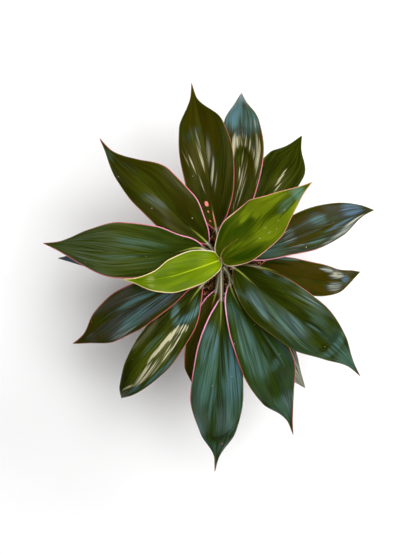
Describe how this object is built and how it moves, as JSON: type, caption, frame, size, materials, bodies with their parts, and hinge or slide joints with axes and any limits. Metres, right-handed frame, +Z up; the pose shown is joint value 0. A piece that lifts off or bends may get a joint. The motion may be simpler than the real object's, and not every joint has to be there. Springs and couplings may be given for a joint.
{
  "type": "potted ti plant",
  "caption": "Ti plant with glossy dark strap leaves edged in pink and young green leaves on top, spiralling up a short ringed cane in a round clay pot of soil.",
  "frame": {"origin": "centre of the pot's flat base, on the surface that it stands on", "axes": "+Z up along the pot's axis; -Y towards the longest leaf, which points down in the picture; +X to the picture's right"},
  "size_m": [0.4367, 0.5226, 0.3405],
  "materials": {
    "fired_clay": "unglazed fired clay, matt",
    "potting_soil": "damp potting mix with bark",
    "cane_bark": "ringed corky bark",
    "young_leaf": "satin leaf cuticle, yellow green with a pink margin",
    "dark_leaf": "glossy leaf cuticle, olive green to near black with a pink margin"
  },
  "bodies": {
    "root": {"pot": "fired_clay", "soil": "potting_soil", "cane": "cane_bark", "spear": "young_leaf", "leaf_lime_west": "young_leaf", "leaf_green_northeast": "young_leaf", "leaf_west": "dark_leaf", "leaf_southeast": "dark_leaf", "leaf_northwest": "dark_leaf", "leaf_southwest_upper": "dark_leaf", "leaf_south_southeast": "dark_leaf", "leaf_east": "dark_leaf", "leaf_north": "dark_leaf", "leaf_south": "dark_leaf", "leaf_west_lower": "dark_leaf", "leaf_north_lower": "dark_leaf", "leaf_east_lower": "dark_leaf", "leaf_southwest": "dark_leaf", "leaf_northeast_lower": "dark_leaf", "leaf_southeast_lower": "dark_leaf", "leaf_south_lower": "dark_leaf"}
  },
  "joints": []
}
